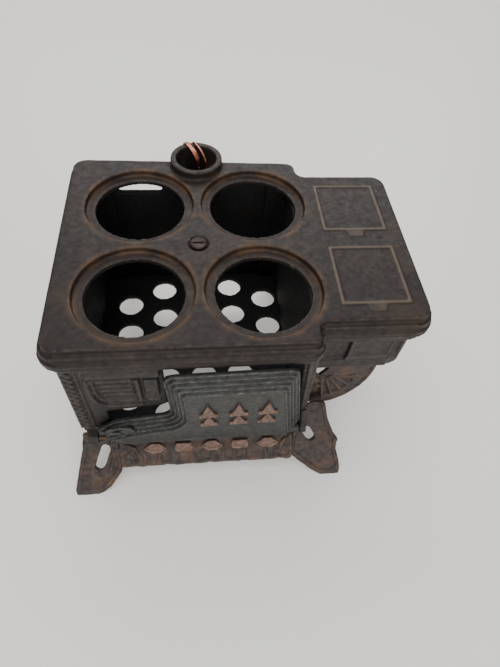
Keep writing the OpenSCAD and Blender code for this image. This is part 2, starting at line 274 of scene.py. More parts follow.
def castIron(name, base, shade, patch, wear, options=None):
    o = dict(ironSizes)
    o.update(options or {})
    material, tree, place = startMaterial(name)
    spot = (place, "Object")
    broad = addNoise(tree, spot, o["patchSize"], 5.0, 0.62)
    blotch = addNoise(tree, spot, o["pitSize"], 6.0, 0.7)
    grain = addNoise(tree, spot, o["grain"], 3.0, 0.6)
    mottle = ramp(tree, (blotch, 0), 0.36, 0.66)
    tone = blendColours(tree, (mottle, 0), linearColour(shade), linearColour(base))
    patchShare = ramp(tree, (broad, 0), 0.48, 0.68, end=o["patchAmount"])
    tone = blendColours(tree, (patchShare, 0), tone, linearColour(patch))
    # wear on the edges that stand out, and painted shade that darkens the hollows
    geometry = addNode(tree, "ShaderNodeNewGeometry")
    edge = ramp(tree, (geometry, "Pointiness"), 0.515, 0.59)
    rub = combine(tree, "MULTIPLY", (edge, 0), (mottle, 0))
    rubbed = combine(tree, "MULTIPLY", (rub, 0), o["wearAmount"])
    tone = blendColours(tree, (rubbed, 0), tone, linearColour(wear))
    # painted shade: faces in hollows, found by low pointiness, are blended toward near-black
    hollowShade = ramp(tree, (geometry, "Pointiness"), 0.40, 0.48, o["hollowShadeAmount"], 0.0)
    tone = blendColours(tree, (hollowShade, 0), tone, linearColour(o["hollowShadeTone"]))
    height = combine(tree, "MULTIPLY_ADD", (grain, 0), o["grainShare"], (blotch, 0))
    roughness = ramp(tree, (blotch, 0), 0.3, 0.7, o["rough"] + o["rougher"], o["rough"] - o["smoother"])
    return material, tree, spot, tone, (roughness, 0), (height, 0), o


def plainCastIron(name, base, shade, patch, wear, options=None):
    material, tree, spot, tone, rough, height, o = castIron(name, base, shade, patch, wear, options)
    return finishMaterial(material, tree, tone, rough, height, o["metallic"], o["bump"])


print("stage 1: frame loaded,", len(frame["nodes"]), "solids")

# places that everything is hung from, in mm
topLow, topHigh = [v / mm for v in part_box("cooktop")]
screwLow, screwHigh = [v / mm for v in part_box("clamp_screw")]
screwX = (screwLow.x + screwHigh.x) / 2
tankLow, tankHigh = [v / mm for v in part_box("reservoir_box")]
skirtLow, skirtHigh = [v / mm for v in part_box("front_skirt")]
doorHinge = Vector(frame["joints"][0]["pos_m"]) / mm
floorLow, floorHigh = [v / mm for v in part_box("base_floor")]
platZ = 80.0
wallFace = floorLow.y

# camera, at the height and angle of someone looking down at the stove
cameraSizes = {"place": (-13.31, -125.25, 201.42), "lens": 25.907, "sensor": 36, "near": 0.005, "far": 20,
               "right": (0.9942, -0.0862, 0.0645), "up": (0.0332, 0.8156, 0.5777),
               "back": (-0.1024, -0.5722, 0.8137)}
eye = bpy.data.cameras.new("lookingDown")
eye.lens = cameraSizes["lens"]
eye.sensor_width = cameraSizes["sensor"]
eye.clip_start = cameraSizes["near"]
eye.clip_end = cameraSizes["far"]
camera = bpy.data.objects.new("lookingDown", eye)
bpy.context.scene.collection.objects.link(camera)
turn = Matrix([cameraSizes[way] for way in ("right", "up", "back")]).transposed().to_4x4()
camera.matrix_world = Matrix.Translation(Vector(cameraSizes["place"]) * mm) @ turn
bpy.context.scene.camera = camera

# cooktop
topSizes = {"holePitch": 43.0, "seatRadius": 20.0, "lip": 2.3, "corner": 5.0, "step": 2.2, "cove": 3.0,
            "rearStep": 3.6, "rearCove": 4.0, "rearSlant": 2.2, "stepOut": 37.5, "rearStepOut": 40.5,
            "shelfFront": -35.8, "shelfRear": 37.7, "rear": 46.6, "grooveRadius": 0.5,
            "grooves": ((0.85, 2.6), (2.05, 5.0), (2.6, 6.8), (2.1, 8.7), (1.1, 10.7)),
            "skin": 0.42, "mostFaces": 190000, "wearNear": 0.4, "wearFar": 2.2, "rustSize": 9,
            "coverLow": 0.12, "coverHigh": 0.3, "coverStart": 30}


def cooktopIron():
    # the upper face is darker and browner, with rusty tan wear round each lid seat and on the cover lines
    material, tree, spot, tone, rough, height, o = castIron(
        "bare cast iron, worn cooktop", "#2d2623", "#221c1a", "#3a2e24", "#7a6c60",
        {"patchSize": 14.0, "patchAmount": 0.55, "wearAmount": 0.5, "rough": 0.5, "bump": 0.06,
         "metallic": 0.25})
    t = topSizes
    half = t["holePitch"] / 2 * mm
    vectors = "ShaderNodeVectorMath"
    shift = combine(tree, "SUBTRACT", spot, (screwX * mm, 0, 0), kind=vectors)
    folded = combine(tree, "ABSOLUTE", (shift, 0), kind=vectors)
    fromHole = combine(tree, "SUBTRACT", (folded, 0), (half, half, 0), kind=vectors)
    flat = combine(tree, "MULTIPLY", (fromHole, 0), (1, 1, 0), kind=vectors)
    radius = combine(tree, "LENGTH", (flat, 0), kind=vectors)
    offRing = combine(tree, "SUBTRACT", (radius, "Value"), t["seatRadius"] * mm)
    distance = combine(tree, "ABSOLUTE", (offRing, 0))
    ring = ramp(tree, (distance, 0), t["wearNear"] * mm, t["wearFar"] * mm, 1.0, 0.0)
    rustNoise = addNoise(tree, spot, t["rustSize"], 5.0, 0.6)
    rustSpots = ramp(tree, (rustNoise, 0), 0.42, 0.62, start=0.15)
    share = combine(tree, "MULTIPLY", (ring, 0), (rustSpots, 0))
    rusted = combine(tree, "MULTIPLY", (share, 0), 0.5)
    tone = blendColours(tree, (rusted, 0), tone, linearColour("#63472f"))
    parts = addNode(tree, "ShaderNodeSeparateXYZ", Vector=spot)
    raised = ramp(tree, (parts, "Z"), (platZ + t["coverLow"]) * mm, (platZ + t["coverHigh"]) * mm)
    onShelf = combine(tree, "GREATER_THAN", (parts, "X"), t["coverStart"] * mm)
    line = combine(tree, "MULTIPLY", (raised, 0), (onShelf, 0))
    worn = combine(tree, "MULTIPLY", (line, 0), 0.6)
    tone = blendColours(tree, (worn, 0), tone, linearColour("#675a4c"))
    return finishMaterial(material, tree, tone, rough, height, o["metallic"], o["bump"], 0.28)


def arcPoints(x, y, r, start, end, n=7):
    turns = [math.radians(start + (end - start) * i / n) for i in range(n + 1)]
    return [(x + r * math.cos(t), y + r * math.sin(t)) for t in turns]


def topOutline(grow):
    # the cooktop's plan at its upper face, grown outwards
    o = topSizes
    left = topLow.x + o["lip"]
    rightEnd = topHigh.x - o["lip"]
    front = topLow.y + o["lip"]
    stepX = screwX + o["stepOut"]
    rearStepX = screwX + o["rearStepOut"]
    shelfFront, shelfRear, rear = o["shelfFront"], o["shelfRear"], o["rear"]
    c, s, v, rs, rc = o["corner"], o["step"], o["cove"], o["rearStep"], o["rearCove"]
    return (arcPoints(left + c, front + c, c + grow, 180, 270)
            + arcPoints(stepX - s, front + s, s + grow, 270, 360)
            + arcPoints(stepX + v, shelfFront - v, v - grow, 180, 90)
            + arcPoints(rightEnd - c, shelfFront + c, c + grow, 270, 360)
            + arcPoints(rightEnd - c, shelfRear - c, c + grow, 0, 90)
            + arcPoints(rearStepX + rc, shelfRear + rc, rc - grow, 270, 180)
            + arcPoints(rearStepX - rs, rear - rs, rs + grow, 0, 90)
            + arcPoints(left + c, rear + o["rearSlant"] - c, c + grow, 90, 180))


def makeCooktop():
    top = castCopy("cooktop", "stoveTop")
    # grooves between the beads of the moulded edge
    for grow, drop in topSizes["grooves"]:
        groove = addCord([(x, y, platZ - drop) for x, y in topOutline(grow)], topSizes["grooveRadius"],
                         closed=True)
        cutAway(top, groove)
    top = fuse(top, [], topSizes["skin"], 1, "stoveTop", push=0.12, pushSize=5.0)
    thinOut(top, topSizes["mostFaces"])
    top.data.materials.append(cooktopIron())
    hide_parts("cooktop")
    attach(top, "stove")
    print("stage 2: cooktop,", len(top.data.polygons), "faces")


makeCooktop()

# bare iron of the other castings
bodyIron = plainCastIron("bare cast iron, dull grey body", "#383331", "#2a2624", "#43362b", "#78706a",
                         {"patchAmount": 0.5, "wearAmount": 0.6})
# painted shade: a near-black finish for the faces inside the stove, where little light reaches
innerShadeIron = plainCastIron("rough cast iron, sooty inner walls", "#151211", "#0e0c0b", "#1d1613", "#221d1a",
                         {"patchAmount": 0.4, "rough": 0.7, "bump": 0.15, "metallic": 0.1})
doorIron = plainCastIron("bare cast iron, grey green door", "#3b3c3b", "#2c2c2b", "#40372f", "#8a8681",
                         {"patchAmount": 0.45, "wearAmount": 0.8, "rough": 0.42, "metallic": 0.45})
rustyIron = plainCastIron("cast iron under brown rust", "#473b36", "#302826", "#644a37", "#87776a",
                          {"patchSize": 7.0, "patchAmount": 0.65, "rough": 0.56, "metallic": 0.2,
                           "bump": 0.2})
wornCopper = plainCastIron("copper paint worn thin on cast ornament", "#83675a", "#4f3f37", "#6f5144",
                           "#b08a76", {"patchSize": 2.5, "pitSize": 1.2, "patchAmount": 0.5, "rough": 0.5,
                                       "metallic": 0.3, "bump": 0.1})
screwIron = plainCastIron("turned steel screw under red rust", "#3a2e28", "#2a211d", "#4d3a2e", "#66533f",
                          {"patchSize": 3.0, "metallic": 0.5, "rough": 0.5, "bump": 0.08})


def sheetCopper():
    # thin rolled copper, still bright: a clear pink metal gleam with soft streaks along the strip
    material, tree, place = startMaterial("rolled copper strip, lightly tarnished")
    streak = addNode(tree, "ShaderNodeMapping", Vector=(place, "Object"), Scale=(1.0, 0.25, 0.25))
    noise = addNoise(tree, (streak, 0), 0.8, 4.0, 0.5)
    tarnish = ramp(tree, (noise, 0), 0.4, 0.7)
    tone = blendColours(tree, (tarnish, 0), linearColour("#bd7860"), linearColour("#6b4133"))
    return finishMaterial(material, tree, tone, 0.34, (noise, 0), 1.0, 0.05, 0.5)


copper = sheetCopper()


def dress(piece, node, body, material, inner=None, isInner=None):
    # gives a casting its finish, with painted shade (a near-black second finish) on the faces that look into
    # the stove
    piece.data.materials.clear()
    piece.data.materials.append(material)
    if inner:
        piece.data.materials.append(inner)
        for face in piece.data.polygons:
            if isInner(face.center / mm):
                face.material_index = 1
    if node:
        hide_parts(node)
    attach(piece, body)
    print("  piece", piece.name, len(piece.data.polygons), "faces")


# front wall with the firebox panel and the rope pilaster
wallSizes = {"lean": 1.6, "thick": 2.5, "high": 76.0, "inLeft": 1.2, "inRight": 0.8, "postIn": 3.6,
             "postTop": 67.4, "skin": 0.4, "shadeInset": 0.6,
             "opening": [(20.7, 73), (-26.3, 73), (-26.3, 41.5), (-26.9, 40.1), (-28.3, 39.5), (-49, 36.2),
                         (-49, None)],
             "ridges": ((66.0, -52.5, -27.2, 0.5, 1.0), (64.0, -52.2, -27.4, 1.5, 1.1),
                        (62.0, -51.8, -27.6, 0.9, 0.8)),
             "frameBead": [(-51.8, 61), (-51.9, 54), (-51.6, 48.5), (-50.4, 44.8), (-48.0, 42.6),
                           (-45, 41.9), (-34.5, 42.6)],
             "frameRadius": 0.75,
             "innerBead": [(-50.0, 60), (-50.0, 53), (-49.4, 48.5), (-47.6, 46.2), (-44.5, 45.6),
                           (-36.5, 46.0)],
             "innerRadius": 0.55, "louvres": (59.4, 56.4, 53.4, 50.6), "louvreLeft": -48.6,
             "louvreRight": -37.0, "louvreRadius": 0.85, "knobX": -30.6, "knobs": (57.2, 51.4),
             "ropeTwists": 13, "ropeTop": 64.5, "ropeTall": 38.5, "ropeX": -57.0, "ropeRun": 0.9,
             "ropeRadius": 1.35 * 0.66, "postLines": ((-54.6, -55.3), (-59.0, -60.2), (23.4, 25.9)),
             "lineTop": 66, "lineFoot": 24, "lineRadius": 0.6, "ears": ((-58.5, -54.2), (25.5, 28.0)),
             "earRadius": 2.2}


def makeFrontWall():
    w = wallSizes
    face = wallFace
    low = floorHigh.z
    left = floorLow.x + w["inLeft"]
    rightEdge = floorHigh.x - w["inRight"]
    postX = rightEdge - w["postIn"]
    doorLow, doorHigh = [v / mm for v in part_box("oven_door")]
    opening = [(x, low if z is None else z) for x, z in w["opening"]]
    outline = [(left - w["lean"], low), (left, w["high"]), (postX, w["high"]), (postX, w["postTop"]),
               (rightEdge, w["postTop"]), (rightEdge + w["lean"], low), (doorHigh.x, low)] + opening
    wall = addPlate(outline, face, face + w["thick"])
    parts = []
    # firebox panel: ridges over it, a frame bead round a recess, louvres, a bar and a square boss
    for z, x0, x1, out, r in w["ridges"]:
        parts.append(addCord([(x0, face - out * 0.6, z), (x1, face - out * 0.6, z)], r))
    parts.append(addCord([(x, face - 0.7, z) for x, z in w["frameBead"]], w["frameRadius"]))
    parts.append(addCord([(x, face - 0.5, z) for x, z in w["innerBead"]], w["innerRadius"]))
    for i, z in enumerate(w["louvres"]):
        parts.append(addCord([(w["louvreLeft"] + 0.4 * i, face - 0.35, z - 0.2),
                              (w["louvreRight"], face - 0.35, z)], w["louvreRadius"]))
    parts.append(addBar((-35.9, face - 1.6, 45.6), (-34.4, face + 0.5, 60.4), 0.3))
    parts.append(addBar((-33.0, face - 1.5, 48.6), (-28.2, face + 0.5, 60.0), 0.4))
    parts.append(addCord([(-32.6, face - 1.5, 54.3), (-28.6, face - 1.5, 54.3)], 0.5))
    for z in w["knobs"]:
        parts.append(addBall((w["knobX"], face - 1.4, z), 1.3, (1, 0.6, 1)))
    parts.append(addCord([(-33.0, face - 0.4, 45.4), (-28.2, face - 0.4, 44.8)], 0.6))
    # pilaster: a twisted rope between two plain lines, and one plain line on the right post
    for i in range(w["ropeTwists"]):
        t = i / (w["ropeTwists"] - 1)
        z = w["ropeTop"] - w["ropeTall"] * t
        x = w["ropeX"] - w["ropeRun"] * t
        parts.append(addCord([(x - 1.3, face - 0.5, z + 1.3), (x + 1.2, face - 0.6, z - 1.1)],
                             w["ropeRadius"]))
    for topX, footX in w["postLines"]:
        parts.append(addCord([(topX, face - 0.1, w["lineTop"]), (footX, face - 0.1, w["lineFoot"])],
                             w["lineRadius"]))
    # ears that hold the hinge pin, the right one with a web up the post
    parts.append(addCord([(26.9, face - 2.2, 22), (26.7, face - 1.6, 27), (26.0, face - 0.4, 31)], 1.5))
    y, z = doorHinge.y, doorHinge.z
    for x0, x1 in w["ears"]:
        parts.append(addCord([(x0, y, z), (x1, y, z)], w["earRadius"]))
        parts.append(addBar((x0, y, z - 1.9), (x1, face + 0.5, z + 2.1), 0.3))
    wall = fuse(wall, parts, w["skin"], 1, "frontWall", push=0.12)
    # faces behind the front face take the near-black painted inner shade
    dress(wall, "front_wall", "stove", bodyIron, innerShadeIron,
          lambda centre: centre.y > face + w["shadeInset"])


makeFrontWall()

# oven door and its ornaments
doorSizes = {"ajar": 3.0, "skew": 2.0, "left": -53.6, "face": -3.2, "step": -24.4, "right": 25.0,
             "topRight": 20.5, "top": 46.0, "ledge": 13.2, "rise": 3.0, "foot": -2.4, "end": 4.0,
             "tip": 4.5, "bigCorner": 7, "smallCorner": 3, "cove": 4.5, "skin": 0.33,
             "beads": 5, "beadPitch": 1.45, "beadInset": 0.45, "beadOut": 0.72, "beadRadius": 0.36,
             "curls": [([(-52.6, 4.4), (-50.4, 7.6), (-47.6, 9.4), (-44.6, 8.8), (-43.6, 6.4),
                         (-45.6, 4.8), (-47.6, 5.8)], 0.9),
                       ([(-51.0, 1.6), (-48.0, 3.2), (-45.2, 2.0), (-42.0, 3.4)], 0.8),
                       ([(-49.0, 9.6), (-46.6, 12.6), (-43.4, 13.6), (-40.0, 12.2), (-38.6, 9.6)], 0.8),
                       ([(-43.4, 10.8), (-40.6, 10.2), (-39.2, 7.6), (-41.0, 5.6)], 0.8),
                       ([(-50.0, -0.4), (-46.4, -0.8), (-42.6, 0.4)], 0.7)],
             "curlRun": 6.0, "curlOut": 0.4, "curlSink": 2.4}
bellSizes = {"rows": ((27.6, 8.0), (19.4, 8.0 * 0.85)), "columns": (-10.6, 0.1, 10.6), "wide": 6.8,
             "out": 0.9, "hemOut": 0.7, "hemRadius": 0.5, "lump": 1.0, "skin": 0.25,
             "flare": [(1.0, -0.5), (0.98, -0.4), (0.62, -0.3), (0.5, -0.1), (0.36, 0.12), (0.22, 0.3),
                       (0.08, 0.5)]}


def doorOutline(d):
    # the door's edge, drawn inwards by d
    o = doorSizes
    big = max(o["bigCorner"] - d, 0.8)
    small = max(o["smallCorner"] - d, 0.6)
    cove = o["cove"] + d
    return (arcPoints(o["left"] + o["end"] + d + small, o["foot"] + d / 2 + small, small, 215, 270)
            + arcPoints(o["right"] - 0.8 * d - big, o["foot"] + d / 2 + big, big, 270, 360)
            + arcPoints(o["topRight"] - 0.8 * d - small, o["top"] - d - small, small, 0, 90)
            + arcPoints(o["step"] + d + small + 1, o["top"] - d - small - 1, small + 1, 90, 180)
            + arcPoints(o["step"] + d - cove, o["ledge"] + o["rise"] - d + cove, cove, 360, 270)
            + arcPoints(o["left"] + 1.6 * o["end"] + d + small, o["ledge"] - d - small, small, 90, 150)
            + arcPoints(o["left"] + d + small, o["tip"], small, 150, 215))


def hangOnDoor(piece):
    # from the closed and square door to the place where it hangs
    d = doorSizes
    place = (Matrix.Translation(doorHinge * mm) @ Matrix.Rotation(math.radians(d["ajar"]), 4, "X")
             @ Matrix.Translation((d["left"] * mm, 0, 0)) @ Matrix.Rotation(math.radians(-d["skew"]), 4, "Y")
             @ Matrix.Translation((-d["left"] * mm, 0, 0)))
    piece.matrix_world = place @ piece.matrix_world
    pick(piece)
    return settle()


def makeDoor():
    door = castCopy("oven_door", "ovenDoor")
    d = doorSizes
    parts = []
    # a bead on the lip of each step
    for i in range(d["beads"]):
        inset = d["beadPitch"] * i + d["beadInset"]
        parts.append(addCord([(x, d["beadOut"] - i, h) for x, h in doorOutline(inset)], d["beadRadius"],
                             closed=True))
    # leaf curls at the left end of the ledge
    for curl, r in d["curls"]:
        line = []
        for x, h in curl:
            inside = min(x - d["left"], d["curlRun"]) / d["curlRun"]
            line.append((x, d["curlOut"] - d["curlSink"] * inside, h))
        parts.append(addCord(line, r))
    parts = [hangOnDoor(p) for p in parts]
    door = fuse(door, parts, d["skin"], 1, "ovenDoor", push=0.1)
    dress(door, "oven_door", "door", doorIron)


def makeBells():
    # six plain bells on the door's panel, in two rows
    b = bellSizes
    face = doorSizes["face"]
    half = b["wide"] / 2
    bells = []
    for h, tall in b["rows"]:
        for x in b["columns"]:
            shape = [(x + half * w, h + tall * v) for w, v in b["flare"]]
            shape += [(x - half * w, h + tall * v) for w, v in reversed(b["flare"])]
            y = face - b["hemOut"]
            bells.append(addPlate(shape, face - b["out"], face + 0.2))
            bells.append(addCord([(x - half, y, h - tall / 2), (x + half, y, h - tall / 2)],
                                 b["hemRadius"]))
            bells.append(addBall((x, y, h - tall * 0.1), b["lump"], (1, 0.6, 1)))
    bells = [hangOnDoor(bell) for bell in bells]
    ornament = fuse(bells[0], bells[1:], b["skin"], 1, "doorBells")
    dress(ornament, None, "door", wornCopper)


makeDoor()
makeBells()

# hearth skirt under the door
skirtSizes = {"bumps": 30, "bumpInset": 1.2, "ribs": 16, "ribInset": 2, "ribOut": 8.0, "ribHigh": 13.2,
              "ribLow": 9.6, "topBeadOut": 3.9, "topBeadZ": 16.4, "topBeadRadius": 0.6,
              "endBead": ((-46.2, 16.6), (-49.6, 13.6), (-53.0, 9.9)), "endBeadRadius": 1.1,
              "leaves": [[(-47.4, -48.2, 15.0), (-44.4, -49.6, 14.2), (-42.0, -51.6, 12.0),
                          (-41.6, -53.4, 9.8)],
                         [(-44.6, -47.4, 16.0), (-41.2, -48.8, 15.2), (-38.8, -51.2, 12.6),
                          (-38.4, -53.2, 10.0)],
                         [(20.4, -47.6, 15.8), (18.2, -49.6, 14.2), (17.4, -52.2, 11.2)]],
              "leafRadius": 0.75, "hemPoints": 12, "hemRadius": 0.9, "skin": 0.4}
blockSizes = {"count": 5, "left": -33.0, "pitch": 11.4, "slope": -34, "out": 6.75, "z": 14.7,
              "long": [(-4.2, 0), (-1.5, 1.9), (1.5, 1.9), (4.2, 0), (1.5, -1.9), (-1.5, -1.9)],
              "short": [(-2.6, -1.6), (2.6, -1.6), (3.3, 0), (2.6, 1.6), (-2.6, 1.6), (-3.3, 0)],
              "bead": 0.6, "lump": 2.6, "skin": 0.25}


def makeSkirt():
    o = skirtSizes
    skirt = castCopy("front_skirt", "hearthSkirt")
    parts = []
    wide = skirtHigh.x - skirtLow.x
    # rough lumps along the hem, then ribs down the slope
    for i in range(o["bumps"]):
        x = skirtLow.x + o["bumpInset"] + (wide - 2 * o["bumpInset"]) * i / (o["bumps"] - 1)
        r = random.uniform(0.9, 1.6)
        y = skirtLow.y + 1.0 + random.uniform(0, 0.5)
        z = skirtLow.z + 0.6 + random.uniform(-0.3, 0.9)
        parts.append(addBall((x, y, z), r, (1.4, 0.7, 0.9)))
    for i in range(o["ribs"]):
        x = skirtLow.x + o["ribInset"] + (wide - 2 * o["ribInset"]) * i / (o["ribs"] - 1)
        foot = (x + random.uniform(-0.7, 0.7), skirtLow.y + 1.2, o["ribLow"])
        parts.append(addCord([(x, wallFace - o["ribOut"], o["ribHigh"]), foot], random.uniform(0.6, 1.0)))
    y = wallFace - o["topBeadOut"]
    parts.append(addCord([(skirtLow.x, y, o["topBeadZ"]), (skirtHigh.x, y, o["topBeadZ"])],
                         o["topBeadRadius"]))
    for x in (skirtLow.x - 0.1, skirtHigh.x + 0.1):
        parts.append(addCord([(x, y, z) for y, z in o["endBead"]], o["endBeadRadius"]))
    for leaf in o["leaves"]:
        parts.append(addCord(leaf, o["leafRadius"]))
    hem = []
    for i in range(o["hemPoints"] + 1):
        x = skirtLow.x + 0.5 + (wide - 1) * i / o["hemPoints"]
        hem.append((x, skirtLow.y + 1.0, skirtLow.z + 1.5 + 0.45 * math.sin(i * 2.4)))
    parts.append(addCord(hem, o["hemRadius"]))
    skirt = fuse(skirt, parts, o["skin"], 2, "hearthSkirt", push=0.4, pushSize=3.0)
    dress(skirt, "front_skirt", "stove", rustyIron)


def makeHearthOrnament():
    # five plain lozenges on the slope, long and short by turns
    o = blockSizes
    slope = Matrix.Rotation(math.radians(o["slope"]), 4, "X")
    blocks = []
    for i in range(o["count"]):
        centre = Vector((o["left"] + o["pitch"] * i, wallFace - o["out"], o["z"]))
        ring = o["long"] if i % 2 == 0 else o["short"]
        outer = [centre + slope @ Vector((a, 0, b)) for a, b in ring]
        blocks.append(addCord([tuple(v) for v in outer], o["bead"], closed=True))
        lump = addBall((0, 0, 0), o["lump"], (1.15, 0.3, 0.62))
        lump.matrix_world = Matrix.Translation(centre * mm) @ slope
        pick(lump)
        blocks.append(settle())
    ornament = fuse(blocks[0], blocks[1:], o["skin"], 1, "hearthOrnament")
    dress(ornament, None, "stove", wornCopper)


makeSkirt()
makeHearthOrnament()

# four flared legs
legSizes = {"rim": 0.85, "foot": 1.1, "topY": 45.0, "topZ": 17.5, "skin": 0.38, "knee": (41.5, 12.9),
            "kneeRadius": 1.3,
            "leftRims": [[(-60.2, 16.6), (-60.9, 14), (-62.7, 8), (-64.4, 2.6)],
                         [(-64.4, 2.4), (-62.4, 1.2), (-57.2, 1.2), (-54.2, 2.1), (-51.7, 3.8),
                          (-49.3, 6.2), (-47.5, 8.6)],
                         [(-47.4, 8.6), (-47.2, 12), (-48.8, 16.6)],
                         [(-50.6, 16.4), (-49.4, 12), (-51.2, 7.5)]],
            "rightRims": [[(36.0, 25.0), (37.3, 19.8), (39.7, 15), (41.5, 12.6), (41.2, 9.2),
                           (42.7, 4.8), (43.2, 2.4)],
                          [(43.2, 2.2), (40.8, 1.1), (36.6, 1.1), (33.4, 2.3), (27.6, 6.2), (23.6, 9)],
                          [(23.4, 9), (23.4, 13), (24.4, 16.6)],
                          [(28.9, 25.6), (32.0, 26.4), (35.6, 26.2)]],
            "shoulders": (((-61.2, -44.6, 15.2), (-54.3, -42.3, 19.9), 0.6),
                          ((-54.5, -45.2, 15.2), (-49.2, -42.3, 17.4), 0.4))}


def makeLeg(node, name, side, toward):
    # the plate of the solid, with raised rims along its edges that leave a hollow between them
    o = legSizes
    leg = castCopy(node, name)
    low, high = [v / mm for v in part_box(node)]
    reach = -low.y if toward < 0 else high.y
    rims = o["leftRims"] if side < 0 else o["rightRims"]

    def onSlope(x, z, sink=0.0):
        return (x, toward * (reach - z * (reach - o["topY"]) / o["topZ"] - sink), z)

    parts = []
    for i, line in enumerate(rims):
        # the second rim runs along the foot
        r = o["foot"] if i == 1 else o["rim"]
        parts.append(addCord([onSlope(x, z, 0.5 if i == 1 else 0.2) for x, z in line], r))
    if side > 0:
        parts.append(addBall(onSlope(*o["knee"]), o["kneeRadius"]))
    elif toward < 0:
        for corner, across, edge in o["shoulders"]:
            parts.append(addBar(corner, across, edge))
    leg = fuse(leg, parts, o["skin"], 2, name, push=0.4, pushSize=3.5)
    dress(leg, node, "stove", rustyIron)


makeLeg("leg_front_left", "legFrontLeft", -1, -1)
makeLeg("leg_front_right", "legFrontRight", 1, -1)
makeLeg("leg_rear_left", "legRearLeft", -1, 1)
makeLeg("leg_rear_right", "legRearRight", 1, 1)

# reservoir and its brackets
tankSizes = {"face": -32.6, "recesses": ((35.6, 39.9), (56.2, 59.9)), "recessLow": 51.8,
             "recessHigh": 67.3, "fluteRadius": 0.6, "fluteLow": 51.5, "fluteHigh": 67.5,
             "flutes": ((3, 36.4, 1.35, 0.9), (2, 57.4, 1.5, 1.2)),
             "sills": ((47.6, 0.9), (49.7, 0.6), (51.0, 0.5)), "panelX": (40.6, 55.4),
             "panelZ": (54.6, 66.0), "panelRadius": 0.5, "skin": 0.5}


def makeTank():
    o = tankSizes
    tank = castCopy("reservoir_box", "reservoir")
    y = o["face"]
    parts = []
    # a dark recess at each side of the panel, with flutes standing in it
    for x0, x1 in o["recesses"]:
        tank = cutAway(tank, addBar((x0, y - 3, o["recessLow"]), (x1, y + 1.7, o["recessHigh"])))
    for count, start, pitch, sink in o["flutes"]:
        for i in range(count):
            x = start + pitch * i
            parts.append(addCord([(x, y + sink, o["fluteLow"]), (x, y + sink, o["fluteHigh"])],
                                 o["fluteRadius"]))
    for z, r in o["sills"]:
        parts.append(addCord([(tankLow.x + 1.2, y - 0.5, z), (tankHigh.x - 4.2, y - 0.5, z)], r))
    # the bead round the panel
    for z in o["panelZ"]:
        parts.append(addCord([(x, y - 1.0, z) for x in o["panelX"]], o["panelRadius"]))
    for x in o["panelX"]:
        parts.append(addCord([(x, y - 1.0, z) for z in o["panelZ"]], o["panelRadius"]))
    tank = fuse(tank, parts, o["skin"], 1, "reservoir", push=0.12)
    dress(tank, "reservoir_box", "stove", bodyIron)


makeTank()


bracketSizes = {"flutes": (-78, -64, -50, -36, -22), "fluteRadius": 0.8, "rimRadius": 1.0,
                "curl": [(29.5, 16), (31.5, 18.6), (34.4, 18), (34.8, 15), (32.6, 14)],
                "curlRadius": 0.8, "gap": [(31.0, 46.2), (36.2, 46.2), (32.4, 39.2), (31.2, 40.6)],
                "behind": [(30.6, 46.2), (37.6, 46.2), (34.8, 32.4), (31.2, 33.0)], "skin": 0.36}


def makeBracket(node, name, toward):
    o = bracketSizes
    low, high = [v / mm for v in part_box(node)]
    bracket = castCopy(node, name)
    y = low.y if toward < 0 else high.y
    out = y - toward * 0.5
    parts = []
    # flutes that fan out from the corner under the shelf, and a rim bead round the curve
    for angle in o["flutes"]:
        a = math.radians(angle)
        near = (33 + 6 * math.cos(a), out, low.z + 27 + 7 * math.sin(a))
        far = (33.4 + 18.6 * math.cos(a), out, low.z + 28.6 + 26.5 * math.sin(a))
        parts.append(addCord([near, far], o["fluteRadius"]))
    turns = [math.radians(angle) for angle in range(-80, 1, 10)]
    rim = [(34 + 19.4 * math.cos(a), y - toward * 0.4, low.z + 29 + 28 * math.sin(a)) for a in turns]
    parts.append(addCord(rim, o["rimRadius"]))
    parts.append(addCord([(x, out, low.z + z) for x, z in o["curl"]], o["curlRadius"]))
    gap = addPlate(o["gap"], y - 5, y + 5)
    bracket = fuse(bracket, parts, o["skin"], 1, name, push=0.25, pushSize=2.5)
    bracket = cutAway(bracket, gap)
    # the opening widens behind the front face, so that light comes through it
    if toward < 0:
        bracket = cutAway(bracket, addPlate(o["behind"], y + 1.4, y + 6))
    dress(bracket, node, "stove", rustyIron)


makeBracket("bracket_front", "bracketFront", -1)
makeBracket("bracket_rear", "bracketRear", 1)


# plain walls and floor, with painted shade on their inner faces
plainSizes = {"wallSkin": 0.55, "floorSkin": 0.5, "frameLow": 27, "frameHigh": 61, "frameRadius": 0.7,
              "sideFrame": (-33, 33), "backFrame": (-52, 19), "backOut": 42.15, "backInside": 41.4,
              "tabs": ((-23.8, -21.7), (-3.7, -1.6), (23.2, 25.7)), "tabLow": 66.8, "tabHigh": 75.7}


def makePlain(node, name, inward, parts, grain, push, pushSize):
    casting = fuse(castCopy(node, name), parts, grain, 1, name, push=push, pushSize=pushSize)
    # faces on the inner side take the near-black painted inner shade
    dress(casting, node, "stove", bodyIron, innerShadeIron, inward)


def frameOf(axis, at, ends):
    # a raised bead round a plain wall
    o = plainSizes
    corners = [(ends[0], o["frameLow"]), (ends[1], o["frameLow"]), (ends[1], o["frameHigh"]),
               (ends[0], o["frameHigh"])]
    ring = [(at, a, z) if axis == "x" else (a, at, z) for a, z in corners]
    return addCord(ring, o["frameRadius"], closed=True)


